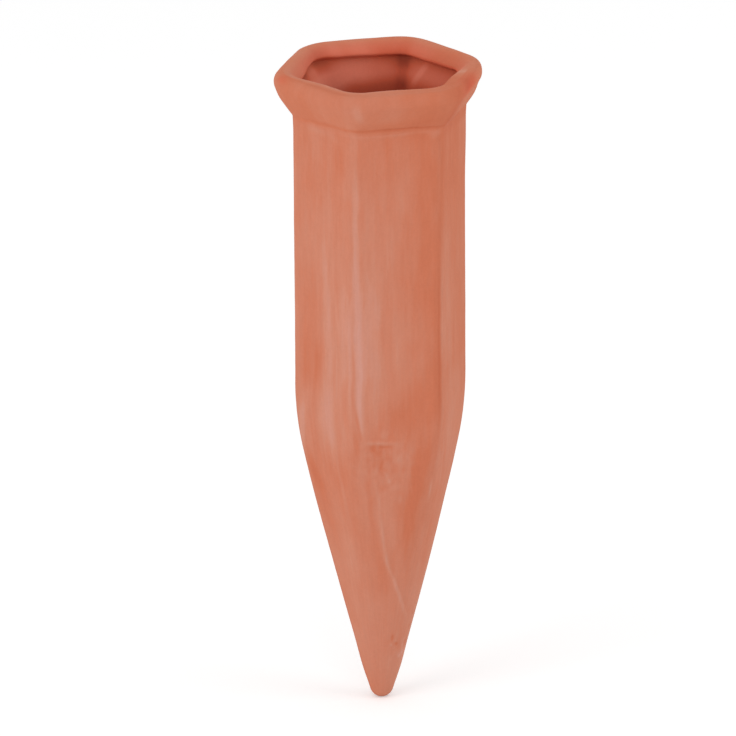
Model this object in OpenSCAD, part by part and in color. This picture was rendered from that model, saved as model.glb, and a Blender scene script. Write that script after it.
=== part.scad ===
// Self watering spike of unglazed terracotta, in millimetres.
// One hollow six-sided casting: a flared rim that takes an upturned bottle, a straight barrel,
// and a taper that turns from six-sided to round and ends in a blunt point.
// The lowest point of the tip is at the origin and +Z is up. Two corners of the
// hexagon lie on the X axis, and two flats face +Y and -Y.

/* [Overall] */
// Height from the tip to the crest of the rim
spike_h = 170; // [150:1:210]

/* [Rim] */
// Width of the rim from flat to flat, where it is widest
rim_flats = 50; // [47:0.5:58]
// Corner radius of the rim, seen from above
rim_corner_r = 8.84; // [6:0.01:14]
// Height of the rim, from the crease under it to the crest
rim_h = 11.8; // [9:0.1:18]
// Radius that softens the crease under the rim
crease_r = 1.5; // [0.5:0.1:2.5]
// Radius that rounds the outer lip of the rim
lip_r = 2.5; // [1.5:0.1:3.2]
// Width of the level land on the crest
land_w = 0.9; // [0.4:0.1:1.5]
// Depth of the funnel, from the crest down to the throat edge
funnel_drop = 3.6; // [2:0.1:5]
// Width of the funnel, from the land in to the throat edge
funnel_w = 3.8; // [2:0.1:5]
// Corner radius of the throat
throat_corner_r = 4.6; // [2:0.1:9]
// How far the cavity steps out under the throat edge
undercut_w = 1.3; // [0.4:0.1:2]
// Height of the step under the throat edge
undercut_h = 1.4; // [0.8:0.1:2.5]

/* [Barrel] */
// Width of the barrel from flat to flat
barrel_flats = 39.7; // [36:0.1:42]
// Corner radius of the barrel
barrel_corner_r = 4; // [2:0.1:9]
// Thickness of the fired wall
wall_t = 3; // [1.8:0.1:4]
// Corner radius of the cavity
cavity_corner_r = 4; // [2:0.1:9]

/* [Taper and point] */
// Height of the middle of the shoulder, where the barrel bends into the taper
shoulder_h = 78.8; // [60:0.1:100]
// Height over which the shoulder bends, above its middle and again below it
shoulder_bend_h = 9; // [4:0.1:14]
// How far the sides of the taper swell out, halfway down
taper_swell = 1.35; // [0:0.05:2]
// Height at which the taper has become round
round_h = 18; // [8:0.5:40]
// Radius of the blunt point
nose_r = 3; // [2:0.1:4.5]
// Radius of the worn flat on the very point
point_flat_r = 0.7; // [0.3:0.05:1.2]
// Height of the lowest point of the cavity, over the solid point
cavity_floor_h = 14; // [10:0.5:30]
// Height over which the end of the cavity is rounded
cavity_end_h = 4; // [2:0.1:8]

/* [Fineness] */
// Steps round each corner of the hexagon
corner_steps = 8; // [4:2:12]
// Steps round the crease, and round each half of the lip
lip_steps = 5; // [3:1:8]
// Steps up the wall under the throat edge
undercut_steps = 6; // [4:1:10]
// Steps round the blunt point, and round the end of the cavity
point_steps = 6; // [4:1:10]
// Steps along the taper, outside and inside
taper_steps = 18; // [12:1:30]

/* [Hidden] */

terracotta = [0.80, 0.49, 0.39];
overrun = 1;
sides = 6;
sector = 360 / sides;
half_sector = sector / 2;

// Half widths from flat to flat
rim_a = rim_flats / 2;
barrel_a = barrel_flats / 2;
cavity_a = barrel_a - wall_t;
land_a = rim_a - lip_r - land_w;
throat_a = land_a - funnel_w;

// Heights that the zones share
crease_h = spike_h - rim_h;
taper_top_h = shoulder_h + shoulder_bend_h;
taper_bend_h = shoulder_h - shoulder_bend_h;

// A station is [height, half width from flat to flat, corner radius] of one rounded hexagon
function ring(station) = [
    for (side = [0:sides - 1], step = [0:corner_steps])
        let (
            middle = side * sector,
            turn = middle + half_sector * (2 * step / corner_steps - 1),
            core = (station[1] - station[2]) / cos(half_sector)
        )
        [core * cos(middle) + station[2] * cos(turn), core * sin(middle) + station[2] * sin(turn), station[0]]
];

// Solid whose side runs through the stations, listed from low to high, with a flat cap at each end
module skin(stations) {
    around = sides * (corner_steps + 1);
    top = (len(stations) - 1) * around;
    walls = [
        for (low = [0:around:top - around], i = [0:around - 1])
            let (high = low + around, next = (i + 1) % around)
            each [[low + i, high + next, low + next], [low + i, high + i, high + next]]
    ];
    low_cap = [for (i = [0:around - 1]) i];
    high_cap = [for (i = [around - 1:-1:0]) top + i];
    polyhedron(
        points = [for (station = stations) each ring(station)],
        faces = concat(walls, [low_cap, high_cap]),
        convexity = 6
    );
}

// Upright prism on the outline of one rounded hexagon
module hex_prism(half_w, corner_r, low_h, high_h) {
    outline = [for (point = ring([low_h, half_w, corner_r])) [point[0], point[1]]];
    translate([0, 0, low_h])
        linear_extrude(high_h - low_h)
            polygon(outline);
}

// Rim: a hollow crease and a round lip, joined by the straight flare that touches both
crease_centre = [barrel_a + crease_r, crease_h];
lip_centre = [rim_a - lip_r, spike_h - lip_r];
flare_run = lip_centre - crease_centre;
flare_lean = 90 - atan2(flare_run[1], flare_run[0]) + asin((crease_r + lip_r) / norm(flare_run));
lip_turns = concat(
    [for (step = [lip_steps:-1:1]) -flare_lean * step / lip_steps],
    [for (step = [0:lip_steps]) 90 * step / lip_steps]
);
function flare_corner_r(a) =
    barrel_corner_r + (rim_corner_r - barrel_corner_r) * (a - barrel_a) / (rim_a - barrel_a);
function lip_corner_r(a) = rim_corner_r - (rim_a - a);

crease_stations = [
    for (step = [0:lip_steps])
        let (turn = flare_lean * step / lip_steps, a = crease_centre[0] - crease_r * cos(turn))
        [crease_centre[1] + crease_r * sin(turn), a, flare_corner_r(a)]
];
lip_stations = [
    for (turn = lip_turns)
        let (a = lip_centre[0] + lip_r * cos(turn))
        [lip_centre[1] + lip_r * sin(turn), a, turn < 0 ? flare_corner_r(a) : lip_corner_r(a)]
];

// Mouth: the cavity widens to the undercut, steps in to the throat edge, and opens along the funnel to the land
throat_h = spike_h - funnel_drop;
undercut_low_h = throat_h - undercut_h;
undercut_a = throat_a + undercut_w;
undercut_corner_r = throat_corner_r + undercut_w;
undercut_stations = [
    for (step = [0:undercut_steps])
        let (share = step / undercut_steps, eased = (1 - cos(180 * share)) / 2)
        [
            crease_h + (undercut_low_h - crease_h) * share,
            cavity_a + (undercut_a - cavity_a) * eased,
            cavity_corner_r + (undercut_corner_r - cavity_corner_r) * eased
        ]
];
mouth_stations = concat(
    [[crease_h - overrun, cavity_a, cavity_corner_r]],
    undercut_stations,
    [
        [throat_h, throat_a, throat_corner_r],
        [spike_h, land_a, lip_corner_r(land_a)],
        [spike_h + overrun, land_a, lip_corner_r(land_a)]
    ]
);

module flared_rim() {
    color(terracotta)
        difference() {
            skin(concat(crease_stations, lip_stations));
            skin(mouth_stations);
        }
}

module hex_barrel() {
    color(terracotta)
        difference() {
            hex_prism(barrel_a, barrel_corner_r, taper_top_h, crease_h);
            hex_prism(cavity_a, cavity_corner_r, taper_top_h - overrun, crease_h + overrun);
        }
}

// Taper: its sides touch the ball of the point and bend into the barrel at the shoulder
nose_centre_h = sqrt(pow(nose_r, 2) - pow(point_flat_r, 2));
straight_lean = atan2(barrel_a, shoulder_h - nose_centre_h)
    - asin(nose_r / norm([barrel_a, shoulder_h - nose_centre_h]));
nose_lean = atan(tan(straight_lean) + 4 * taper_swell / (shoulder_h - nose_centre_h));
nose_top_h = nose_centre_h - nose_r * sin(nose_lean);
nose_top_a = nose_r * cos(nose_lean);
function swollen_a(h) =
    let (share = (h - nose_top_h) / (shoulder_h - nose_top_h))
    nose_top_a + (barrel_a - nose_top_a) * share + 4 * taper_swell * share * (1 - share);
function side_a(h) =
    h < taper_bend_h ? swollen_a(h) :
    let (left_share = (taper_top_h - h) / (taper_top_h - taper_bend_h))
    barrel_a - (barrel_a - swollen_a(taper_bend_h)) * pow(left_share, 2);

// Share of a half width that is corner radius: from the barrel's share at the top to 1 where it is round
function round_share(h, top_share) =
    let (share = max(0, (h - round_h) / (taper_top_h - round_h)))
    1 - (1 - top_share) * pow(share, 2) * (3 - 2 * share);

nose_turn_low = asin(point_flat_r / nose_r);
nose_stations = [
    for (step = [0:point_steps - 1])
        let (
            turn = nose_turn_low + (90 - nose_lean - nose_turn_low) * step / point_steps,
            a = nose_r * sin(turn)
        )
        [nose_centre_h - nose_r * cos(turn), a, a]
];
side_stations = [
    for (step = [0:taper_steps])
        let (h = nose_top_h + (taper_top_h - nose_top_h) * step / taper_steps, a = side_a(h))
        [h, a, a * round_share(h, barrel_corner_r / barrel_a)]
];

// Cavity in the taper: one wall thickness inside the sides, with a rounded end over the solid point
cavity_end_top_h = cavity_floor_h + cavity_end_h;
function hollow(h) =
    let (a = side_a(h) - wall_t)
    [h, a, a * round_share(h, cavity_corner_r / cavity_a)];
end_station = hollow(cavity_end_top_h);
end_turn = 90 / point_steps;
hollow_end_stations = [
    for (step = [1:point_steps - 1])
        let (turn = end_turn * step)
        [
            cavity_floor_h + cavity_end_h * (1 - cos(turn) / cos(end_turn)),
            end_station[1] * sin(turn),
            end_station[2] * sin(turn)
        ]
];
hollow_side_stations = [
    for (step = [0:taper_steps])
        hollow(cavity_end_top_h + (taper_top_h - cavity_end_top_h) * step / taper_steps)
];
hollow_top_station = [taper_top_h + overrun, cavity_a, cavity_corner_r];

module pointed_tip() {
    color(terracotta)
        difference() {
            skin(concat(nose_stations, side_stations));
            skin(concat(hollow_end_stations, hollow_side_stations, [hollow_top_station]));
        }
}

flared_rim();
hex_barrel();
pointed_tip();
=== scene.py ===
"""Self watering spike of unglazed terracotta, slip-cast in one hollow six-sided piece.

The spike stands on its point. Its casting is drawn as one skin of rows and columns, from the point up the
outside, over the lip, and down the mouth to the floor of the cavity, and is then cut into its three zones.
Sizes are in millimetres until a mesh is made. Heights run up from the point, and turns run round the axis
from the corner that faces +X. Names that end in _h are heights, those in _a are half widths from flat to
flat, and those in _r are radii.
"""

import math

import bmesh
import bpy
import numpy as np
from mathutils import Matrix, Vector


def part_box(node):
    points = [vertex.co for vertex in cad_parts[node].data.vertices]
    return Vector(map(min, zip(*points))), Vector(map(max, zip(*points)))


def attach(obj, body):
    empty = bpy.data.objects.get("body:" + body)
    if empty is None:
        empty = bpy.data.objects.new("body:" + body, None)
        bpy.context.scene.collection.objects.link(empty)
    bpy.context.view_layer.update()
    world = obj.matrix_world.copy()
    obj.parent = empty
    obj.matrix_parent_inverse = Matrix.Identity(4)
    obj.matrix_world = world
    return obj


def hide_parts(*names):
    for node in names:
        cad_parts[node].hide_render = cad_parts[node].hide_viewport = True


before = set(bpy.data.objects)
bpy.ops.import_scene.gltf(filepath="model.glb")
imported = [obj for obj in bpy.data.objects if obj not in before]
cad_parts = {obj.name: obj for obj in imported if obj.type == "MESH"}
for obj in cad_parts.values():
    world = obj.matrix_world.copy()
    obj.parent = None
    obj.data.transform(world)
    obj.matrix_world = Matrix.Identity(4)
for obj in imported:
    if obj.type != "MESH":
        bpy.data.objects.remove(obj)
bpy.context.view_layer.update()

MM = 0.001
SIDES = 6
SECTOR = 2 * math.pi / SIDES
HALF_SECTOR = SECTOR / 2

# Main sizes, from the frame
rim_box = [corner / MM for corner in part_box("flared_rim")]
barrel_box = [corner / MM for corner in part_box("hex_barrel")]
SPIKE_H = rim_box[1].z
CREASE_H = rim_box[0].z
TAPER_TOP_H = barrel_box[0].z
RIM_A = rim_box[1].y
BARREL_A = barrel_box[1].y

# Rim
RIM_CORNER_R = 10.4
CREASE_R = 1.5
LIP_R = 2.5
LIP_LOW_H = SPIKE_H - LIP_R
CREST_A = RIM_A - LIP_R
CREST_CORNER_R = RIM_CORNER_R - (RIM_A - CREST_A)

# Mouth
FUNNEL_TOP_A = 21.2
FUNNEL_TOP_CORNER_R = CREST_CORNER_R - 1
THROAT_A = 17.75
THROAT_H = SPIKE_H - 2.9
THROAT_CORNER_R = 4.6
UNDERCUT_A = 20.2
UNDERCUT_H = THROAT_H - 1.4
UNDERCUT_CORNER_R = THROAT_CORNER_R + 1.2
CAVITY_TOP_H = CREASE_H + 2

# Barrel and cavity
BARREL_CORNER_R = 4.0
CAVITY_CORNER_R = 4.0
WALL_T = 3.0
CAVITY_A = BARREL_A - WALL_T

# Taper and point
SHOULDER_H = 78.8
SHOULDER_BEND_H = TAPER_TOP_H - SHOULDER_H
TAPER_SWELL = 1.35
ROUND_H = 18.0
NOSE_R = 3.0
CAVITY_FLOOR_H = 14.0
CAVITY_END_H = 4.0

# A row is as good as round when its corner radius is this share of its half width
ROUND_LIMIT = 0.999

# Fineness of the skin
COLUMNS_A_SIDE = 64
CORNER_CROWDING = 0.65
OUTSIDE_STEP = 0.6
TAPER_STEP = 0.42
INSIDE_STEP = 2.5
MOUTH_STEP = 0.5
FINE_STEP = 0.25
NOSE_STEPS = 11
FLARE_STEPS = 19
BEND_STEPS = 5
CAVITY_END_STEPS = 8


def between(low, high, step):
    """Even places from low to high, both included, no further apart than the step."""
    return np.linspace(low, high, max(2, math.ceil(abs(high - low) / step) + 1))


def inner_places(first, last, steps):
    """Even places that divide the way from first to last into steps, with both ends left out."""
    return np.linspace(first, last, steps + 1)[1:-1]


def eased(share):
    """0 to 1 with a soft start and end."""
    share = np.clip(share, 0, 1)
    return share * share * (3 - 2 * share)


def rising(value, start, run):
    """0 up to the start, and from there softly to 1 over the run."""
    return eased((value - start) / run)


def falling(value, end, run):
    """0 from the end on, and 1 where the value is a whole run or more below it."""
    return eased((end - value) / run)


def bell(distance, spread):
    """1 in the middle, falling away to 0 past about twice the spread."""
    return np.exp(-((distance / spread) ** 2))


# The taper's half width, as in the construction
nose_lean_run = SHOULDER_H - NOSE_R
straight_lean = math.atan2(BARREL_A, nose_lean_run) - math.asin(NOSE_R / math.hypot(BARREL_A, nose_lean_run))
nose_lean = math.atan(math.tan(straight_lean) + 4 * TAPER_SWELL / nose_lean_run)
nose_top_h = NOSE_R * (1 - math.sin(nose_lean))
nose_top_a = NOSE_R * math.cos(nose_lean)


def swollen_a(h):
    """Half width of the sides from the nose to the shoulder: straight, with a swell that is full halfway."""
    share = (h - nose_top_h) / (SHOULDER_H - nose_top_h)
    return nose_top_a + (BARREL_A - nose_top_a) * share + 4 * TAPER_SWELL * share * (1 - share)


def side_a(h):
    """Half width of the taper: swollen sides that bend into the barrel at the shoulder."""
    bend_low_h = SHOULDER_H - SHOULDER_BEND_H
    left_share = (TAPER_TOP_H - h) / (TAPER_TOP_H - bend_low_h)
    bend = BARREL_A - (BARREL_A - swollen_a(bend_low_h)) * left_share ** 2
    return np.where(h < bend_low_h, swollen_a(h), bend)


def round_share(h, top_share):
    """Share of the half width that is corner radius, from the top's share to 1 where the taper is round."""
    return 1 - (1 - top_share) * rising(h, ROUND_H, TAPER_TOP_H - ROUND_H)


def rows(h, a, r):
    """Rows of the skin: height, half width from flat to flat, and corner radius."""
    return np.column_stack(np.broadcast_arrays(np.asarray(h, float), a, r))


def towards(here, there, reach):
    """The place that lies a reach away from here, on the way there."""
    way = there - here
    return here + way * reach / np.linalg.norm(way[:2])


def bent_line(points, step):
    """Rows along straight runs between points: height, half width, corner radius, and reach of the bend."""
    at = [np.array(point[:3], float) for point in points]
    out = [at[0]]
    for i, here in enumerate(at[1:], 1):
        reach = points[i][3]
        start = out[-1]
        before = towards(here, at[i - 1], reach)
        run = between(0, np.linalg.norm((before - start)[:2]), step)
        out.extend(start + (before - start) * share for share in run[1:] / run[-1])
        if reach:
            after = towards(here, at[i + 1], reach)
            for t in np.linspace(0, 1, BEND_STEPS + 1)[1:]:
                out.append(before * (1 - t) ** 2 + 2 * here * t * (1 - t) + after * t ** 2)
    return np.array(out)


def outside_of_the_taper():
    """From the blunt point, whose very tip is left open, up the sides to the barrel."""
    turn = inner_places(0, math.pi / 2 - nose_lean, NOSE_STEPS)
    nose_a = NOSE_R * np.sin(turn)
    nose = rows(NOSE_R * (1 - np.cos(turn)), nose_a, nose_a * ROUND_LIMIT)
    h = between(nose_top_h, TAPER_TOP_H, TAPER_STEP)
    a = side_a(h)
    r = a * np.minimum(round_share(h, BARREL_CORNER_R / BARREL_A), ROUND_LIMIT)
    return np.vstack([nose, rows(h, a, r)])


def outside_of_the_barrel():
    return rows(between(TAPER_TOP_H, CREASE_H, OUTSIDE_STEP), BARREL_A, BARREL_CORNER_R)


def outside_of_the_rim():
    """From the hollow crease, up the straight flare and round the lip to its top."""
    run = np.array([CREST_A - (BARREL_A + CREASE_R), LIP_LOW_H - CREASE_H])
    lean = math.pi / 2 - math.atan2(run[1], run[0]) + math.asin((CREASE_R + LIP_R) / np.hypot(*run))
    turn = between(0, lean, FINE_STEP / CREASE_R)
    crease = np.column_stack([CREASE_H + CREASE_R * np.sin(turn), BARREL_A + CREASE_R * (1 - np.cos(turn))])
    turn = between(-lean, math.pi / 2, FINE_STEP / LIP_R)
    lip = np.column_stack([LIP_LOW_H + LIP_R * np.sin(turn), CREST_A + LIP_R * np.cos(turn)])
    flare = [crease[-1] + (lip[0] - crease[-1]) * share for share in inner_places(0, 1, FLARE_STEPS)]
    h, a = np.vstack([crease, flare, lip]).T
    growing = BARREL_CORNER_R + (RIM_CORNER_R - BARREL_CORNER_R) * (a - BARREL_A) / (RIM_A - BARREL_A)
    return rows(h, a, np.where(h > LIP_LOW_H, RIM_CORNER_R - (RIM_A - a), growing))


def inside_of_the_mouth():
    """From the crest in along the funnel, round the throat edge, out to the undercut and in to the cavity."""
    return bent_line([
        (SPIKE_H, CREST_A, CREST_CORNER_R, 0),
        (SPIKE_H, FUNNEL_TOP_A, FUNNEL_TOP_CORNER_R, 1.1),
        (THROAT_H, THROAT_A, THROAT_CORNER_R, 0.8),
        (UNDERCUT_H, UNDERCUT_A, UNDERCUT_CORNER_R, 0.6),
        (CAVITY_TOP_H, CAVITY_A, CAVITY_CORNER_R, 1.8),
        (CREASE_H, CAVITY_A, CAVITY_CORNER_R, 0),
    ], MOUTH_STEP)


def inside_of_the_barrel():
    return rows(between(CREASE_H, TAPER_TOP_H, INSIDE_STEP), CAVITY_A, CAVITY_CORNER_R)


def inside_of_the_taper():
    """Down the cavity, one wall inside the sides, to its rounded end over the solid point."""
    end_top_h = CAVITY_FLOOR_H + CAVITY_END_H
    h = between(TAPER_TOP_H, end_top_h, INSIDE_STEP)
    a = side_a(h) - WALL_T
    r = a * round_share(h, CAVITY_CORNER_R / CAVITY_A) * ROUND_LIMIT
    turn = inner_places(math.pi / 2, 0, CAVITY_END_STEPS)
    end = rows(end_top_h - CAVITY_END_H * np.cos(turn), a[-1] * np.sin(turn), r[-1] * np.sin(turn))
    return np.vstack([rows(h, a, r), end])


# One skin: six zones of rows, with the row that two zones share kept once
ZONES = [
    outside_of_the_taper(),
    outside_of_the_barrel()[1:],
    outside_of_the_rim()[1:],
    inside_of_the_mouth()[1:],
    inside_of_the_barrel()[1:],
    inside_of_the_taper()[1:],
]
zone_ends = np.cumsum([len(zone) for zone in ZONES]) - 1
taper_top, crease, crest, mouth_low, cavity_low, cavity_end = (int(end) for end in zone_ends)
row_h, row_a, row_r = (column[:, None] for column in np.vstack(ZONES).T)
row_outside = (np.arange(len(row_h)) <= crest)[:, None]

# Columns: crowded at the corners, wider apart along the flats
share = np.linspace(-1, 1, COLUMNS_A_SIDE, endpoint=False)
one_side = HALF_SECTOR * (CORNER_CROWDING * share + (1 - CORNER_CROWDING) * share ** 3)
turns = np.concatenate([side * SECTOR + one_side for side in range(SIDES)])[None, :]


def rounded_hexagon(a, r, turn):
    """Distance from the axis to a hexagon of half width a with corners of radius r."""
    off = (turn + HALF_SECTOR) % SECTOR - HALF_SECTOR
    core = (a - r) / math.cos(HALF_SECTOR)
    arc_end = np.arctan2(r * math.sin(HALF_SECTOR), core + r * math.cos(HALF_SECTOR))
    flat = a / np.cos(HALF_SECTOR - np.abs(off))
    arc = core * np.cos(off) + np.sqrt(np.maximum(r ** 2 - (core * np.sin(off)) ** 2, 0))
    return np.where(np.abs(off) > arc_end, flat, arc)


def turn_from(middle):
    """How far each column is turned from a direction given in degrees, from -180 to 180."""
    return (np.degrees(turns) - middle + 180) % 360 - 180


def at_turn(middle, spread):
    """1 on a direction given in degrees, falling away to either side of it."""
    return bell(turn_from(middle), spread)


def facing(middle, reach, run):
    """1 towards a direction in degrees, falling over the run to 0 where it is turned away by the reach."""
    return falling(np.abs(turn_from(middle)), reach, run)


def at_height(middle, spread):
    """1 at a height, falling away above and below it."""
    return bell(row_h - middle, spread)


# Wear and slump of this casting: how far it stands out from the true hexagon. Where a list gives places round
# it, each is: turn in degrees, spread to either side, and how far out or up.
LIP_WORN_AT = ((-3, 13, -0.9), (180, 14, -0.35), (120, 10, -0.4), (48, 12, 0.3))
FLARE_FULL = 0.3
LEFT_FLARE_FULL = 0.45
WAIST_SLIM = 0.14
WAIST_SLIMMER_TO_X = 0.05
TIP_FULL = 0.22
on_lip = rising(row_h, 160, 7) * rising(row_a, 21, 3)
on_waist = falling(row_h, 152, 14) * rising(row_h, 74, 22)
worn = (
    on_lip * sum(out * at_turn(middle, spread) for middle, spread, out in LIP_WORN_AT)
    + FLARE_FULL * row_outside * at_height(161, 3.5)
    + LEFT_FLARE_FULL * row_outside * at_height(164.3, 2.2) * at_turn(182, 28)
    - on_waist * (WAIST_SLIM + WAIST_SLIMMER_TO_X * np.cos(turns))
    + TIP_FULL * row_outside * at_height(9, 5)
)

# On the near side the level top of the rim runs further in, and the funnel below it is steeper
LAND_RUNS_IN = 1.4
MIDDLE_RUNS_IN = 0.45
on_land = ~row_outside * np.interp(row_a, [THROAT_A, FUNNEL_TOP_A, CREST_A], [0, 1, 0])
on_land = on_land * (row_h > UNDERCUT_H + 0.5)
near_side = facing(268, 95, 45)
run_in = on_land * (LAND_RUNS_IN * near_side + MIDDLE_RUNS_IN * at_turn(262, 16))

# The throat edge is pushed out round one corner, and isn't quite level
PUSHED_OUT_AT = ((147, 18, 0.9), (127, 17, 1.5))
LIFTED_AT = ((97, 13, 0.25), (61, 7, -0.2))
on_throat = ~row_outside * at_height(THROAT_H, 1.6)
pushed_out = on_throat * sum(out * at_turn(middle, spread) for middle, spread, out in PUSHED_OUT_AT)
lifted = on_throat * sum(up * at_turn(middle, spread) for middle, spread, up in LIFTED_AT)

distance = rounded_hexagon(row_a, row_r, turns) + worn - run_in + pushed_out
skin = np.stack([distance * np.cos(turns), distance * np.sin(turns), row_h + lifted], axis=-1)

TINY = 1e-12


def normals_of(points):
    """Outward direction at each point of the skin."""
    round_way = np.roll(points, -1, axis=1) - np.roll(points, 1, axis=1)
    up_way = np.gradient(points, axis=0)
    out = np.cross(round_way, up_way)
    return out / np.maximum(np.linalg.norm(out, axis=-1, keepdims=True), TINY)


# Points along each side of the lattice between which a wandering value is drawn
LATTICE = 128


def drift(points, cell, seed):
    """Smooth wandering value between -1 and 1, whose hills are about a cell apart."""
    place = points / np.asarray(cell, float) + LATTICE / 2
    low = np.floor(place).astype(int)
    part = eased(place - low)
    lattice = np.random.default_rng(seed).uniform(-1, 1, (LATTICE, LATTICE, LATTICE))
    value = 0
    for corner in np.ndindex(2, 2, 2):
        weight = np.prod(np.where(corner, part, 1 - part), axis=-1)
        value = value + weight * lattice[tuple(np.moveaxis((low + corner) % LATTICE, -1, 0))]
    return value


# No mark runs quite straight: its place wanders across the side as it goes up, and up as it goes across.
# Each way is: how far, the cell of the wandering, and its seed.
WANDERS = ((0.3, (50, 50, 5), 4), (0.3, (50, 50, 5), 5), (0.25, (4, 4, 50), 6))
wander = np.stack([reach * drift(skin, cell, seed) for reach, cell, seed in WANDERS], axis=-1)

# A mark shows in full from this far out on its own side of the axis, and not at all on the other side
SIDE_FADE = 3


def on_mark(turn, across, height, half_w, half_h, lean):
    """1 at the middle of a mark, a half on its edge, and 0 well away from it."""
    x, y, z = np.moveaxis(skin + wander, -1, 0)
    face_x, face_y = math.cos(math.radians(turn)), math.sin(math.radians(turn))
    lean_x, lean_y = math.sin(math.radians(lean)), math.cos(math.radians(lean))
    aside = y * face_x - x * face_y - across
    above = z - height
    w = (aside * lean_y + above * lean_x) / half_w
    h = (above * lean_y - aside * lean_x) / half_h
    on_side = np.clip((x * face_x + y * face_y) / SIDE_FADE, 0, 1)
    return on_side / (1 + w ** 4 + h ** 4)


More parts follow.
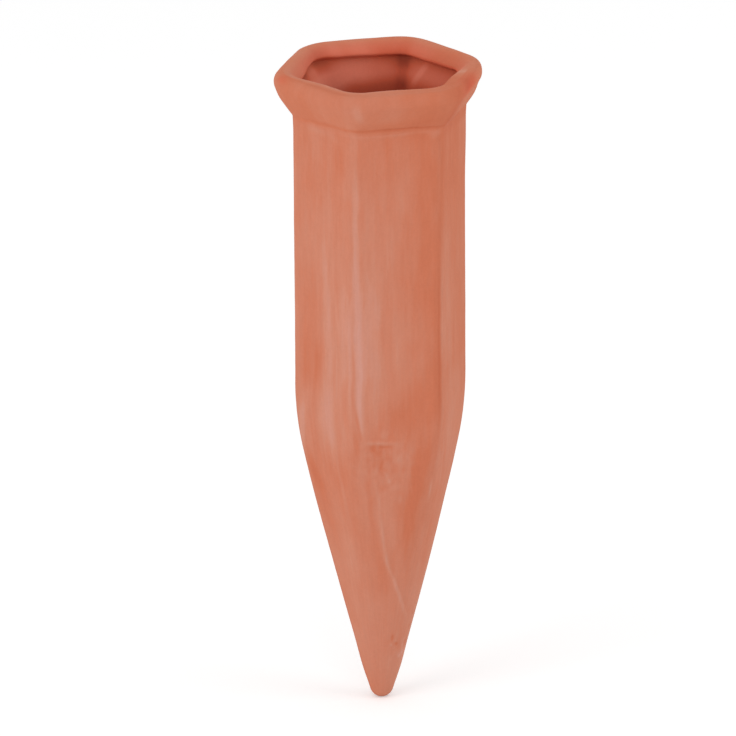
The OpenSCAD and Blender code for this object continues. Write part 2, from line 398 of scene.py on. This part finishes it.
# Marks left by the mould, the fettling knife and the sponge, on the side that faces a turn in degrees. Those
# noted below at the crease, the flare's corner and the lip's top are painted shade or painted highlights.
# Each is: turn, place across that side and height of its middle, half width, half height, lean in degrees,
# how far it stands out, and how pale it is (below 0 is darker and redder).
MARKS = [
    # Chalk left by the sponge, broad on the front and the left side
    (210, 0, 122, 12, 26, 0, 0, 0.25),
    (270, -2, 120, 9, 26, 0, 0, 0.2),
    (270, -9.8, 102, 2.4, 9, 0, 0, 0.3),
    (270, 4, 73, 7, 6, 0, 0, 0.25),
    (240, -4.5, 77, 3, 4, 0, 0, 0.3),
    (270, -9.8, 76, 1.4, 3.5, 0, 0, -0.35),
    # Fettled edge between the front and the left side
    (240, 0.6, 115, 0.8, 33, 1, -0.08, 0.85),
    (240, 1.4, 96, 1.4, 10, 0, 0, 0.12),
    (240, -3.2, 86, 1.1, 6, 0, -0.02, -0.45),
    (240, -2.6, 96, 1.6, 18, 0, 0, 0.4),
    (240, -1.2, 96, 0.5, 14, 0, 0.05, 0.5),
    (240, 1.4, 92, 0.5, 20, 0, 0.03, 0.36),
    (240, -0.5, 152, 1, 3, 0, -0.08, -0.15),
    (240, 0.9, 81, 0.35, 3.8, 8, -0.06, -0.6),
    (240, 1.2, 84, 0.5, 6, 6, 0.08, 0.2),
    # Left side
    (210, 4.5, 92, 3.2, 22, 0, 0.02, 0.42),
    (210, -2, 153, 4, 5, 0, 0, 0.15),
    (210, 1.2, 108, 1.2, 26, 0, 0.02, 0.35),
    (210, -4.6, 94, 3.2, 6, 0, -0.03, -0.5),
    (210, -4.6, 110, 3, 11, 0, 0, -0.25),
    (210, -1.8, 93, 1.6, 6, 0, 0, -0.35),
    (210, 6.5, 152, 1.8, 6, 0, 0, -0.35),
    (210, -8.6, 77, 1.2, 6, -8, 0, 0.6),
    (210, -7, 78, 2, 9, -4, 0.02, 0.4),
    (210, 0.5, 80, 3, 9, 0, 0.02, 0.55),
    (210, 4.8, 79, 1.4, 5, 8, -0.04, -0.3),
    (210, -6, 64, 1.6, 4.5, 12, -0.02, -0.5),
    (210, 0, 57, 2.4, 12, 8, 0.02, 0.25),
    # Painted highlight just under the crease, over a slight real swell
    (210, -1.5, 157.4, 3.6, 0.9, 0, 0.12, 0.35),
    (210, 4.5, 156.6, 2.6, 0.8, -28, 0.1, 0.25),
    # Front: paler on its left and below the slanting line, redder on its right
    (270, -7.2, 103, 2.6, 26, 0, 0.02, 0.45),
    (270, -4.6, 90, 3, 9, 0, 0.02, 0.24),
    (270, 0.5, 95, 1.6, 7, 0, 0.02, 0.22),
    (270, -3.6, 107, 0.5, 7, 0, -0.02, -0.15),
    (270, 8.6, 89, 5, 13, -38, -0.03, -0.35),
    (270, 6.5, 132, 3.6, 24, 0, 0, -0.27),
    (270, 3.5, 154, 4, 5, 0, 0, -0.18),
    (270, -3.4, 78, 0.9, 1.1, -20, 0.1, 0.3),
    # Painted highlight just under the crease, over a slight real swell
    (270, 9.8, 157.6, 1.6, 0.9, 22, 0.14, 0.35),
    # A small dent below the crease, darker
    (270, 6, 157.3, 2, 0.7, -14, -0.08, -0.25),
    # Lump of slip under the shoulder, with its pale rim and dark pits
    (270, -6, 76.1, 2, 0.36, -5, 0.2, 0.45),
    (270, -2.7, 75.7, 2.4, 0.4, -9, 0.22, 0.45),
    (270, -6.4, 74.5, 0.6, 0.9, 10, -0.15, -0.45),
    (270, -3.6, 74.7, 1.3, 0.3, -4, -0.12, -0.4),
    (270, -3.9, 69.6, 0.4, 1.7, -12, -0.1, -0.35),
    (270, -5, 71.5, 2.6, 3.6, 0, -0.08, -0.2),
    (270, -1.9, 73.2, 0.35, 1, 8, 0.1, 0.4),
    (270, 0.6, 71.2, 0.9, 1.3, -12, 0.06, 0.4),
    (270, -1.7, 65, 0.5, 0.55, 0, 0.1, 0.5),
    (270, -2.9, 67.2, 0.3, 0.9, 40, 0.07, 0.3),
    (270, 1.1, 59.6, 0.3, 1, 0, 0.08, 0.35),
    (270, 3.6, 66, 0.35, 6, 6, 0.06, 0.3),
    # Ridges and streaks wiped down the taper
    (270, -4.3, 58, 0.45, 8, 9, 0.08, 0.35),
    (270, -6.3, 57, 0.6, 9, 8, -0.06, -0.3),
    (270, -1.2, 51, 1.6, 8, 8, 0.03, 0.3),
    (270, -2.6, 46.5, 0.45, 6, 12, 0.16, 0.5),
    (270, -0.2, 37.5, 0.4, 6, 19, 0.24, 0.45),
    (270, 2.6, 29.5, 0.4, 5, 19, 0.2, 0.35),
    (270, -2.6, 38, 1.3, 9, 12, -0.06, -0.1),
    (270, 2, 44, 1.2, 9, -3, 0.03, 0.25),
    (270, 3.4, 58, 0.4, 13, 5, 0.05, 0.15),
    (225, -0.5, 62, 0.5, 8, 6, 0.04, 0.3),
    (225, -0.5, 42, 1.8, 10, 4, 0.02, 0.15),
    (285, 1.2, 67, 2, 9, -5, -0.03, -0.55),
    (285, -0.4, 52, 1.4, 8, -5, -0.03, -0.5),
    (300, -0.1, 61.5, 0.35, 2.2, 0, 0.08, 0.55),
    (225, -1, 60, 5, 12, 0, 0, -0.3),
    (300, 0.4, 42, 2.4, 14, 0, 0.02, 0.3),
    (345, 0, 32, 4, 28, 0, 0, 0.5),
    (270, 0, 20, 8, 18, 0, 0, 0.3),
    (225, 0, 30, 4, 18, 0, 0, 0.3),
    # Edge between the front and the right side
    (300, -0.1, 103, 0.4, 18, 0, -0.07, -0.6),
    (300, 1.05, 101, 0.45, 20, 0, 0.05, 0.3),
    (300, -0.9, 106, 0.9, 22, 0, 0, -0.3),
    (300, -3.2, 112, 2, 34, 0, 0, -0.12),
    (300, 4.9, 106, 3, 18, 0, 0, 0.28),
    (300, 4, 146, 3, 10, 0, -0.02, -0.1),
    (300, 1.6, 149, 1.3, 13, 0, 0, -0.45),
    (300, 4.6, 72, 1, 6, 8, 0, -0.35),
    (300, 3.7, 66.5, 0.3, 4, 12, 0.1, 0.6),
    (300, 2.9, 69.5, 0.35, 4, 12, -0.08, -0.5),
    # Right side, and the chip and crumbs just above the point
    (330, 0, 150, 6, 12, 0, 0, -0.3),
    (330, -2, 82, 6, 13, 0, 0.02, 0.35),
    (295, 0.4, 16.5, 1.9, 2.4, 8, -0.1, -0.2),
    (280, 0.2, 18.4, 0.35, 0.9, 0, -0.14, -0.6),
    (290, 0.3, 16.4, 0.4, 0.4, 0, -0.14, -0.6),
    (281, -0.2, 16.3, 0.3, 0.4, 0, 0.12, 0.5),
    (287, 0.1, 17.5, 0.35, 0.3, 0, 0.1, 0.45),
    (308, 0.2, 15.5, 0.45, 0.5, 0, 0.12, 0.6),
    (313, 0, 13.5, 0.45, 0.7, 10, 0.12, 0.7),
    (304, -0.2, 12.8, 0.4, 0.5, 0, 0.1, 0.55),
    (318, 0.4, 16, 0.5, 0.8, 0, -0.22, -0.5),
    (320, 0.3, 20.6, 0.5, 0.6, 0, -0.16, -0.4),
    (320, 0.3, 24.2, 0.4, 0.5, 0, -0.14, -0.5),
    # Flare and rim, among them painted shade and highlights at the crease, the flare's corner and the lip's
    # top
    (240, 2.2, 165.6, 1, 2.4, 4, 0.05, 0.45),
    (270, 1, 160.8, 10, 1.4, 0, -0.04, -0.25),
    # Painted shade in the crease under the flare, over a shallow real groove
    (270, -6.5, 160, 6.5, 0.35, 0, -0.16, -0.6),
    (270, 4.5, 159.6, 7, 0.3, -1, -0.26, -0.8),
    # Painted highlight on the barrel's top edge just under the crease, over a slight real ridge
    (270, -2, 158.2, 9.5, 0.35, 0, 0.16, 0.3),
    # Painted shade in the crease on the other sides
    (210, 0, 159.4, 8, 0.5, 4, -0.05, -0.3),
    (330, 1, 157.8, 10, 1.8, 0, 0, -0.35),
    (90, 0, 159.4, 9, 0.35, 0, -0.14, -0.5),
    (30, 0, 159.2, 8, 0.4, 2, -0.1, -0.4),
    (150, 0, 159.2, 8, 0.4, -2, -0.1, -0.4),
    # A darker patch on the flare's front
    (270, 8.5, 164, 4, 3.2, 0, 0, -0.5),
    # Painted shade on the top of the lip at the right corner
    (325, 0, 168.6, 5, 1.7, 0, 0, -0.4),
    # Painted shade on the flare's right corner
    (305, 1.5, 163, 3, 4.2, 0, 0, -0.9),
    # Painted shade on the top of the lip along the near side
    (270, 4, 169.4, 9, 1, 0, 0, -0.1),
    (310, 0, 168.9, 6, 1.6, 0, 0, -0.25),
    # Darker patches at the left end of the flare and the lip
    (198, 0, 164, 5, 4.5, 0, 0, -0.45),
    (183, 0.5, 169.6, 5, 1, 0, 0, -0.2),
    # Sides away from the photograph
    (0, 0.4, 112, 0.6, 38, 0, -0.08, 0.45),
    (30, -4, 118, 3, 24, 0, 0.02, 0.45),
    (30, 5, 88, 2.4, 14, 5, 0.02, -0.45),
    (30, 1, 60, 0.6, 12, -8, 0.09, 0.4),
    (60, -0.3, 104, 1.2, 30, 0, -0.09, 0.5),
    (90, -6, 98, 2.6, 20, 0, 0.02, 0.4),
    (90, 3.5, 128, 2.2, 18, 0, 0, -0.4),
    (90, 1.5, 73.5, 3.2, 0.4, 4, 0.16, 0.45),
    (90, 2, 71.9, 1.4, 0.6, 0, -0.12, -0.5),
    (90, -2.2, 50, 0.6, 11, 9, 0.1, 0.45),
    (120, 0.2, 120, 1, 34, 0, -0.08, 0.5),
    (150, 4, 104, 2.6, 22, 0, 0.02, 0.4),
    (150, -4.5, 82, 2.4, 10, -6, -0.03, -0.45),
    (150, -1, 47, 1.4, 12, -7, 0.05, 0.35),
    (180, -0.5, 108, 0.8, 36, 0, -0.07, 0.35),
]

# Marks inside the mouth, given in the same way, on the wall that lies to that turn. Those that darken the
# notch under the throat edge, an inner corner and the lip's top are painted shade.
INSIDE_MARKS = [
    (90, 3, 162.5, 5, 3, 0, 0, 0.45),
    (150, 0, 162, 9, 8, 0, 0, 0.1),
    # Painted shade in the notch under the throat edge
    (150, 1, 164.8, 10, 1.4, 0, 0, -0.8),
    # Paler and darker patches
    (172, 0, 164, 4, 2.6, 0, 0, 0.6),
    (182, 0, 169.5, 6, 1.3, 0, 0, 0.1),
    (150, -8, 160.2, 3.5, 2.2, 0, 0, 0.6),
    (150, -5.5, 165.2, 3, 1.5, 0, 0, 0.9),
    (90, 8.5, 160.2, 3.5, 2.2, 0, 0, 0.7),
    (30, -4, 168.6, 6, 1.6, 0, 0, -0.3),
    (90, 1, 168.8, 3, 1.3, 0, 0, 0.35),
    (90, 1, 168.2, 5, 1.5, 0, 0, -0.25),
    # Painted shade in the notch under the throat edge
    (60, 0, 164.8, 2.5, 1.7, 0, 0, -0.55),
    # Painted shade on the top of the lip along the near side
    (270, 4, 169.4, 9, 1.2, 0, 0, -0.2),
    (305, 0, 169.3, 6, 1.2, 0, 0, -0.3),
    # Paler and darker patches
    (90, 7, 168.4, 2, 1.3, 20, 0, 0.3),
    (90, -6, 168, 2.4, 1, 0, 0, -0.2),
    # Painted shade on the top of the lip at the right
    (314, 0, 169.8, 4, 1.2, 0, 0, -0.5),
    # Painted shade in the inner corner, over a slight real hollow
    (60, 0, 162, 1.5, 6, 0, -0.1, -0.6),
    # Paler patches
    (30, 4.6, 162.5, 0.9, 3.2, 25, 0.12, 0.6),
    (336, 0, 169.9, 1.4, 1, 0, 0, 0.6),
    # Painted shade in the notch under the throat edge, at a corner
    (120, 0, 165, 2.2, 2, 0, -0.1, -0.3),
]

# On the near side the lip has a crisper outer edge
CRISP_EDGE = 0.45
lip_turn = np.degrees(np.arctan2(row_h - LIP_LOW_H, row_a - CREST_A))
on_edge = row_outside * (row_h > LIP_LOW_H - 1) * bell(lip_turn - 50, 28)
crisp_lip = CRISP_EDGE * facing(280, 92, 25) * on_edge

# Relief of the bare clay: slow swells, ridges that run down the sides, and dimples. Inside it is flatter.
# Each is: how far it stands out, the cell of its hills, and its seed.
SWELLS = ((0.09, (9, 9, 26), 1), (0.03, (3.2, 3.2, 30), 2), (0.02, (2.2, 2.2, 2.2), 3))
INSIDE_SHARE = 0.7
relief = sum(out * drift(skin, cell, seed) for out, cell, seed in SWELLS)
relief = relief * np.where(row_outside, 1, INSIDE_SHARE) + crisp_lip

# A rough patch round the lump of slip under the shoulder, and another by the chip
CRUMB_OUT = 0.05
CRUMB_PALE = 0.35
by_lump = at_height(69, 9) * at_turn(262, 22)
by_chip = at_height(16, 4) * at_turn(300, 30)
crumbs = row_outside * (by_lump + by_chip) * drift(skin, (0.9, 0.9, 1.7), 7)
relief = relief + CRUMB_OUT * crumbs
tint = CRUMB_PALE * crumbs

# The marks outside and in the mouth. All relief fades out towards the very point.
for marks, here in ((MARKS, row_outside), (INSIDE_MARKS, ~row_outside)):
    for *where, stands_out, pale in marks:
        mark = here * on_mark(*where)
        relief = relief + stands_out * mark
        tint = tint + pale * mark
relief = relief * rising(row_h, -1, 6)
skin = skin + normals_of(skin) * relief[..., None]

# On the near left the top of the rim has a painted highlight along its inner edge, and a line of painted
# shade on its crest
EDGE_HIGHLIGHT = 0.6
CREST_SHADE = 0.6
on_top = row_h > SPIKE_H - 1
painted_edge_highlight = ~row_outside * on_top * bell(row_a - (FUNNEL_TOP_A - 0.2), 0.8) * at_turn(235, 48)
painted_crest_shade = on_top * bell(row_a - (CREST_A + 0.4), 0.8) * at_turn(222, 28)

# Painted shade: the notch under the throat edge and the depth below it are darkened where shade falls in
# them, but the notch shows little on the far side
NOTCH_SHADE = 0.8
DEPTH_SHADE = 0.85
FAR_FADE = 0.75
in_notch = at_height(UNDERCUT_H + 0.2, 1.5) * (row_a > THROAT_A + 0.3) * (1 - FAR_FADE * at_turn(92, 17))
in_depth = falling(row_h, 162.5, 3.5) * rising(row_h, 150, 5)
painted_shade_below = ~row_outside * (NOTCH_SHADE * in_notch + DEPTH_SHADE * in_depth)
tint = tint + EDGE_HIGHLIGHT * painted_edge_highlight - CREST_SHADE * painted_crest_shade - painted_shade_below

# How deep the clay's colour is: 0 outside, growing to 1 down the mouth. The deeper red is partly the clay's
# own and partly painted light, the redder light that bounces round inside the mouth. The funnel is chalkier
# on the near side and at both ends.
NEAR_CHALK = 0.85
END_CHALK = 0.55
chalky = np.maximum(NEAR_CHALK * near_side, END_CHALK * at_turn(12, 26) + END_CHALK * at_turn(182, 22))
in_mouth = np.where(row_outside, 0, falling(row_a, CREST_A, 4))
in_mouth = in_mouth * (1 - chalky * (row_h > THROAT_H + 0.4))
in_mouth[mouth_low:] = 1

# The lip is fired redder on the corners at both ends of the photograph's view
LEFT_FLUSH = 0.6
right_flush = at_turn(323, 13) * at_height(168.3, 1.8)
left_flush = LEFT_FLUSH * at_turn(186, 5) * at_height(169.3, 1)
in_mouth = in_mouth + row_outside * (right_flush + left_flush)

# The skin keeps inside the spike's own box, and the rows where it is cut are level
far_corner = rim_box[1]
skin = np.clip(skin, (-far_corner.x, -far_corner.y, 0), far_corner)
seams = [taper_top, crease, mouth_low, cavity_low]
skin[seams, :, 2] = row_h[seams]
normals = normals_of(skin)


def joint_face_numbers(index, columns, closed):
    """Faces that close a piece between two rows that aren't neighbours on the skin."""
    steps = list(np.diff(index)) + ([index[0] - index[-1]] if closed else [])
    return {number * columns + j for number, step in enumerate(steps) if step != 1 for j in range(columns)}


def casting(name, row_ranges, closed):
    """A closed piece of the skin, its rows joined in order. If closed is false, both ends meet the axis."""
    index = np.concatenate([np.arange(first, last + 1) for first, last in row_ranges])
    columns = skin.shape[1]
    mesh = bmesh.new()
    grid = [[mesh.verts.new(skin[i, j] * MM) for j in range(columns)] for i in index]
    for low, high in zip(grid, grid[1:] + ([grid[0]] if closed else [])):
        for j in range(columns):
            k = (j + 1) % columns
            mesh.faces.new((low[j], low[k], high[k], high[j]))
    if not closed:
        for row, flip in ((grid[0], True), (grid[-1], False)):
            middle = mesh.verts.new(sum((v.co for v in row), Vector()) / columns)
            for j in range(columns):
                corner = (row[j], row[(j + 1) % columns], middle)
                mesh.faces.new(corner[::-1] if flip else corner)
    data = bpy.data.meshes.new(name)
    mesh.to_mesh(data)
    mesh.free()
    piece = bpy.data.objects.new(name, data)
    bpy.context.scene.collection.objects.link(piece)
    data.shade_smooth()

    # The joints between pieces are shaded as the unbroken skin, and the joint faces as flat
    skin_normals = [tuple(normal) for normal in normals[index].reshape(-1, 3)]
    joint_faces = joint_face_numbers(index, columns, closed)
    on_axis = [0.0] * (len(data.vertices) - len(skin_normals))
    for feature, value in (("tint", tint), ("inside", in_mouth)):
        attribute = data.attributes.new(feature, "FLOAT", "POINT")
        attribute.data.foreach_set("value", [*value[index].ravel(), *on_axis])
    loop_normals = []
    for face in data.polygons:
        for v in face.vertices:
            flat = face.index in joint_faces or v >= len(skin_normals)
            loop_normals.append(tuple(face.normal) if flat else skin_normals[v])
    data.normals_split_custom_set(loop_normals)
    return piece


PIECES = {
    "flared_rim": casting("rim_casting", [(crease, mouth_low)], True),
    "hex_barrel": casting("barrel_casting", [(taper_top, crease), (mouth_low, cavity_low)], True),
    "pointed_tip": casting("tip_casting", [(0, taper_top), (cavity_low, cavity_end)], False),
}


class Value:
    """A value that a finish works out over the surface. Sums with it add Math nodes."""

    def __init__(self, finish, socket):
        self.finish = finish
        self.socket = socket

    def worked(self, operation, *numbers, clamp=False):
        settings = {"operation": operation, "use_clamp": clamp}
        return self.finish.add("ShaderNodeMath", settings, dict(enumerate(numbers)))

    def __add__(self, other):
        return self.worked("ADD", self, other)

    __radd__ = __add__

    def __sub__(self, other):
        return self.worked("SUBTRACT", self, other)

    def __rsub__(self, other):
        return self.worked("SUBTRACT", other, self)

    def __mul__(self, other):
        return self.worked("MULTIPLY", self, other)

    __rmul__ = __mul__

    def __truediv__(self, other):
        return self.worked("DIVIDE", self, other)

    def __rtruediv__(self, other):
        return self.worked("DIVIDE", other, self)

    def limited(self, full=1.0):
        """0 where the value is below 0, up to 1 where it reaches full."""
        return self.worked("DIVIDE", self, full, clamp=True)


class Finish:
    """The look of a material or of the sky, worked out by nodes."""

    def __init__(self, owner):
        owner.use_nodes = True
        self.tree = owner.node_tree
        self.tree.nodes.clear()

    def add(self, kind, settings=None, inputs=None, output=0):
        """Adds a node: its settings first, then a number, a colour or a Value for each input."""
        node = self.tree.nodes.new(kind)
        for name, setting in (settings or {}).items():
            setattr(node, name, setting)
        for name, given in (inputs or {}).items():
            if isinstance(given, Value):
                self.tree.links.new(given.socket, node.inputs[name])
            else:
                node.inputs[name].default_value = given
        return Value(self, node.outputs[output])

    def axis(self, vector, name):
        """The X, Y or Z of a vector, as a Value."""
        return self.add("ShaderNodeSeparateXYZ", None, {"Vector": vector}, output=name)

    def mixed(self, share, first, second):
        """From the first colour to the second as the share goes from 0 to 1. Its colour sockets have numbers,
        because the node uses their names more than once."""
        return self.add("ShaderNodeMix", {"data_type": "RGBA"}, {0: share, 6: first, 7: second}, output=2)

    def show(self, shader, output="ShaderNodeOutputMaterial"):
        out = self.tree.nodes.new(output)
        self.tree.links.new(shader.socket, out.inputs["Surface"])


def colour(*shown):
    """A colour as a screen shows it, with red, green and blue from 0 to 255, turned into light."""
    light = (((c / 255 + 0.055) / 1.055) ** 2.4 if c > 10 else c / 255 / 12.92 for c in shown)
    return (*light, 1)


# Colours of the clay, from its fired skin to the chalk on it, and the darkest tones, used for dark bare clay
# and for painted shade in the creases, on the lip and down the mouth
FIRED = colour(204, 119, 87)
BARE = colour(196, 104, 71)
WIPED = colour(208, 140, 115)
CHALK = colour(211, 153, 136)
SHADE_AND_DARK_CLAY = colour(158, 84, 64)
SPECK = colour(150, 80, 60)
RED_INSIDE = colour(207, 98, 68)
WIPED_INSIDE = colour(226, 132, 107)
SHADED_INSIDE = colour(160, 62, 40)

# How pale the clay is by itself, and from where it shows chalk or its darkest tones, which carry the painted
# shade
PALENESS = 0.28
CHALK_FROM = 0.9
DARK_FROM = -1
INSIDE_SHADE_FROM = -0.5

# How much less the streaks show on the rim and down the taper
RIM_CALM = 0.65
TAPER_CALM = 0.45

# Bump of the grain and the streaks, its height in metres
BUMP_STRENGTH = 0.35
BUMP_HEIGHT = 0.00012


def unglazed_terracotta():
    """Matt orange clay with pale wiped chalk, redder bare patches, a fine grain, and painted shade and
    highlights.
    """
    material = bpy.data.materials.new("unglazed_terracotta")
    clay = Finish(material)
    place = clay.add("ShaderNodeTexCoord", output="Object")
    place = clay.add("ShaderNodeVectorMath", {"operation": "SCALE"}, {0: place, "Scale": 1 / MM})
    x, y, z = (clay.axis(place, name) for name in "XYZ")
    away = clay.add("ShaderNodeCombineXYZ", None, {"X": x, "Y": y})
    away = clay.add("ShaderNodeVectorMath", {"operation": "NORMALIZE"}, {0: away})
    round_x, round_y = (BARREL_A * clay.axis(away, name) for name in "XY")

    def noise(wide, tall, detail, roughness=0.5, shift=0.0, across=(x, y)):
        """Noise from 0 to 1 whose blotches are as wide and as tall as given."""
        stretched = clay.add("ShaderNodeCombineXYZ", None, {
            "X": across[0] / wide + shift, "Y": across[1] / wide, "Z": z / tall})
        return clay.add("ShaderNodeTexNoise", None, {
            "Vector": stretched, "Scale": 1.0, "Detail": detail, "Roughness": roughness})

    def wiped(wide, tall, detail, roughness, shift):
        """Noise whose streaks run down the sides, and close up where the taper narrows."""
        return noise(wide, tall, detail, roughness, shift, (round_x, round_y))

    def swing(strength, texture):
        """The texture made to go as far below 0 as above it, by up to half the strength."""
        return strength * (texture - 0.5)

    broad = noise(14, 30, 2)
    streaks = wiped(2.4, 24, 4, 0.6, 7)
    fine_streaks = wiped(0.7, 7, 3, 0.55, 3)
    blotches = noise(3.5, 6, 4, 0.6, 11)
    grain = noise(0.35, 0.35, 3, 0.6, 5)
    dimpling = noise(0.9, 0.9, 3, 0.6, 17)
    wiped_ripples = wiped(1.1, 8, 3, 0.6, 13)

    marked = clay.add("ShaderNodeAttribute", {"attribute_name": "tint"}, output="Fac")
    inside = clay.add("ShaderNodeAttribute", {"attribute_name": "inside"}, output="Fac")

    # How pale the clay is: its marks, the streaks that were wiped down it, and broad patches
    below_rim = 1 - RIM_CALM * (z - (CREASE_H - 3)).limited(5)
    above_taper = 1 - TAPER_CALM * (TAPER_TOP_H - 15 - z).limited(12)
    pale = PALENESS + marked * (1 + swing(0.6, fine_streaks))
    pale = pale + above_taper * below_rim * (swing(0.9, streaks) + swing(0.22, fine_streaks))
    pale = pale + swing(0.5, blotches) + swing(0.9, broad)
    wiped_share = pale.limited()

    body = clay.mixed((0 - pale).limited(), FIRED, BARE)
    body = clay.mixed(wiped_share, body, WIPED)
    body = clay.mixed((pale - CHALK_FROM).limited(), body, CHALK)
    # The darkest tones: dark bare clay, and painted shade at the crease, the flare's corner and the lip's top
    body = clay.mixed((DARK_FROM - pale).limited(), body, SHADE_AND_DARK_CLAY)
    # Inside the mouth the colour is redder, partly painted bounced light, and dark where shade is painted in
    # the notch and the depth
    inside_colour = clay.mixed((0.5 + marked).limited(), RED_INSIDE, WIPED_INSIDE)
    inside_colour = clay.mixed((INSIDE_SHADE_FROM - marked).limited(), inside_colour, SHADED_INSIDE)
    body = clay.mixed(inside, body, inside_colour)
    body = clay.mixed(0.1 * grain, body, SPECK)
    # Brightness that varies at random: partly the clay's own tone and partly painted shade of its fine relief
    tone_and_relief_shade = 1 + swing(0.09, dimpling) + below_rim * swing(0.09, wiped_ripples)
    body = clay.add("ShaderNodeVectorMath", {"operation": "SCALE"}, {0: body, "Scale": tone_and_relief_shade})

    wiped_height = below_rim * (0.6 * fine_streaks + 0.8 * streaks + 0.5 * wiped_ripples)
    height = 0.5 * grain + wiped_height + 0.4 * blotches + 0.5 * dimpling
    bump = clay.add("ShaderNodeBump", None, {
        "Height": height, "Strength": BUMP_STRENGTH, "Distance": BUMP_HEIGHT})
    roughness = 0.86 + 0.08 * wiped_share - 0.04 * grain
    shader = clay.add("ShaderNodeBsdfPrincipled", None, {
        "Base Color": body, "Roughness": roughness, "Normal": bump,
        "Specular IOR Level": 0.25, "Diffuse Roughness": 0.6})
    clay.show(shader)
    return material


terracotta = unglazed_terracotta()
for node, piece in PIECES.items():
    piece.data.materials.append(terracotta)
    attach(piece, "root")
    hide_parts(node)

# Floor, in metres
FLOOR_HALF = 2.0
PAPER = (0.82, 0.82, 0.82, 1)
WHITE = (1, 1, 1, 1)
PAPER_GLOW = 0.215
mesh = bmesh.new()
bmesh.ops.create_grid(mesh, x_segments=1, y_segments=1, size=FLOOR_HALF)
data = bpy.data.meshes.new("floor")
mesh.to_mesh(data)
mesh.free()
floor = bpy.data.objects.new("floor", data)
bpy.context.scene.collection.objects.link(floor)


def white_paper():
    """Matt white paper. The camera sees it bright enough to be pure white wherever nothing shades it."""
    material = bpy.data.materials.new("white_paper")
    paper = Finish(material)
    seen = paper.add("ShaderNodeLightPath", output="Is Camera Ray")
    sheet = paper.add("ShaderNodeBsdfDiffuse", None, {"Color": PAPER})
    bright_sheet = paper.add("ShaderNodeBsdfDiffuse", None, {"Color": WHITE})
    glow = paper.add("ShaderNodeEmission", None, {"Color": WHITE, "Strength": PAPER_GLOW})
    lit = paper.add("ShaderNodeAddShader", None, {0: bright_sheet, 1: glow})
    paper.show(paper.add("ShaderNodeMixShader", None, {0: seen, 1: sheet, 2: lit}))
    return material


floor.data.materials.append(white_paper())

# The sky is pure white to the camera and to reflections, and softer as a light
SKY_LEVEL = 0.66
SEEN_BY = ("Is Camera Ray", "Is Glossy Ray", "Is Transmission Ray")
world = bpy.data.worlds.new("soft_white")
bpy.context.scene.world = world
sky = Finish(world)
camera_ray, glossy_ray, passing_ray = (sky.add("ShaderNodeLightPath", output=ray) for ray in SEEN_BY)
seen = (camera_ray + glossy_ray + passing_ray).limited()
strength = SKY_LEVEL + (1 - SKY_LEVEL) * seen
back = sky.add("ShaderNodeBackground", None, {"Color": WHITE, "Strength": strength})
sky.show(back, "ShaderNodeOutputWorld")

# Lamps and camera turn to this place on the axis, in metres
LOOK_AT = Vector((0, 0, 0.085))
LAMP_FAR = 1.9
LAMP_SIZE = 1.1
LAMP_RISE = 18


def soft_lamp(name, turn, level):
    """A big square lamp in a direction given in degrees. Its level is how brightly it lights the clay."""
    turn, rise = math.radians(turn), math.radians(LAMP_RISE)
    away = Vector((math.cos(turn) * math.cos(rise), math.sin(turn) * math.cos(rise), math.sin(rise)))
    lamp = bpy.data.lights.new(name, "AREA")
    lamp.size = LAMP_SIZE
    lamp.energy = level * (math.pi * LAMP_FAR) ** 2
    holder = bpy.data.objects.new(name, lamp)
    holder.location = LOOK_AT + away * LAMP_FAR
    holder.rotation_euler = away.to_track_quat("Z", "Y").to_euler()
    holder.visible_camera = False
    bpy.context.scene.collection.objects.link(holder)


soft_lamp("left_lamp", 205, 0.31)
soft_lamp("right_lamp", 330, 0.19)
soft_lamp("front_lamp", 265, 0.18)

# The camera looks from far off, a little above the rim and a little to the left of square. Its aim is off the
# middle of the picture by so many pixels.
LOOK_DOWN = math.radians(19.45)
LOOK_LEFT = math.radians(13.03)
LEAN = math.radians(-0.26)
CAMERA_FAR = 3.0
SENSOR = 36
FAR_END = 20
PICTURE = 736
PIXELS_A_METRE = 3928
AIM_X = 12.4
AIM_Y = 15.7
sight = Vector((
    math.sin(LOOK_LEFT) * math.cos(LOOK_DOWN),
    math.cos(LOOK_LEFT) * math.cos(LOOK_DOWN),
    -math.sin(LOOK_DOWN),
))
level = Vector((math.cos(LOOK_LEFT), -math.sin(LOOK_LEFT), 0))
upright = level.cross(sight)
right = level * math.cos(LEAN) + upright * math.sin(LEAN)
up = upright * math.cos(LEAN) - level * math.sin(LEAN)
camera = bpy.data.objects.new("camera", bpy.data.cameras.new("camera"))
bpy.context.scene.collection.objects.link(camera)
camera.data.sensor_width = SENSOR
camera.data.lens = SENSOR * CAMERA_FAR * PIXELS_A_METRE / PICTURE
camera.data.clip_end = FAR_END
place = LOOK_AT - sight * CAMERA_FAR - right * (AIM_X / PIXELS_A_METRE) + up * (AIM_Y / PIXELS_A_METRE)
turn = Matrix((right, up, -sight)).transposed().to_4x4()
camera.matrix_world = Matrix.Translation(place) @ turn
bpy.context.scene.camera = camera
bpy.context.scene.view_settings.view_transform = "Standard"
